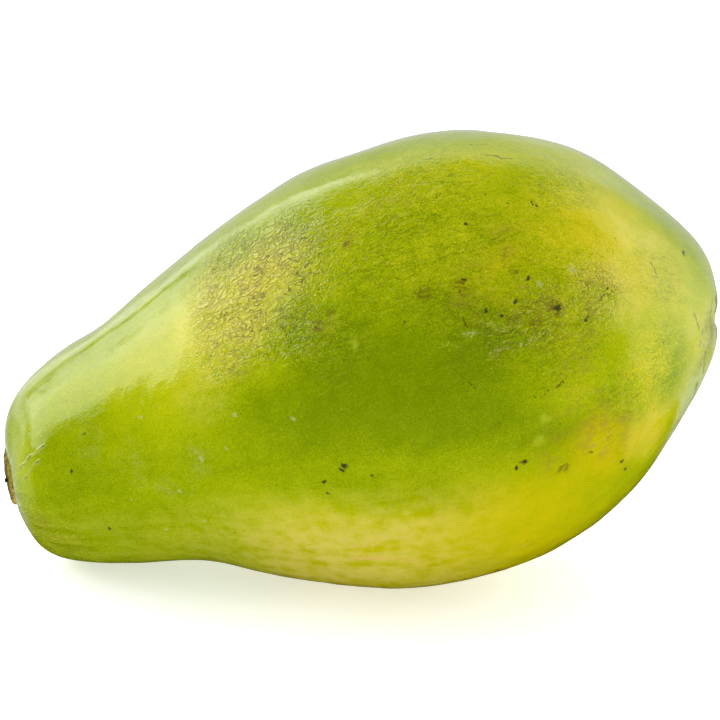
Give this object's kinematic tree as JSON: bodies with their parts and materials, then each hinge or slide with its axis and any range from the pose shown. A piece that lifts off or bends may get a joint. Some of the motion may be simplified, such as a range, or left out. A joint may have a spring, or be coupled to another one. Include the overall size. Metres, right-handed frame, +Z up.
{
  "type": "papaya",
  "caption": "Green-ripe papaya lying on its side: a pear-shaped fruit with a short neck, soft lengthwise lobes and the cut stub of its stalk.",
  "frame": {"origin": "middle of the bounding box's footprint, at the level of the flat spot that the fruit rests on", "axes": "+Z up, +X from the stalk end to the blossom end, -Y the flank that is seen from the front"},
  "size_m": [0.1784, 0.11, 0.1138],
  "materials": {
    "waxy_skin": "satin",
    "cut_stalk": "matte"
  },
  "bodies": {
    "root": {"fruit": "waxy_skin", "stalk_stub": "cut_stalk"}
  },
  "joints": []
}
